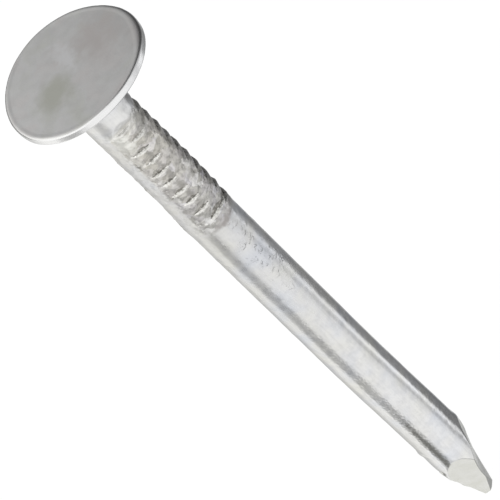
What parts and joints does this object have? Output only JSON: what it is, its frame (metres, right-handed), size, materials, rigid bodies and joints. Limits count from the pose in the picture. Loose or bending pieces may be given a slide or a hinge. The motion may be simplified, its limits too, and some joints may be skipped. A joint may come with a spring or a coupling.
{
  "type": "clout nail",
  "caption": "Galvanised steel nail with a thin flat round head, grip marks on its neck, a plain round shank and a four-sided diamond point.",
  "frame": {"origin": "centre of the shank where it meets the underside of the head, level with the seat", "axes": "+Z along the shank, from the point to the head; +X towards the side on which the head overhangs more; -Y towards the front, as the picture sees it"},
  "size_m": [0.0081, 0.0082, 0.04],
  "materials": {
    "head_zinc": "matt grey zinc coat over the struck face of the head, brighter where it wraps round the rim",
    "wire_zinc": "bright hot-dip zinc coat on drawn steel wire, faintly lumpy, with fine lines along the wire",
    "gripped_zinc": "zinc coat pooled in the die marks, slightly duller and warmer in the grooves",
    "point_zinc": "zinc coat over the pinched facets of the point, matt and slightly warm"
  },
  "bodies": {
    "root": {"head": "head_zinc", "collar": "wire_zinc", "grip_neck": "gripped_zinc", "shank": "wire_zinc", "point": "point_zinc"}
  },
  "joints": []
}
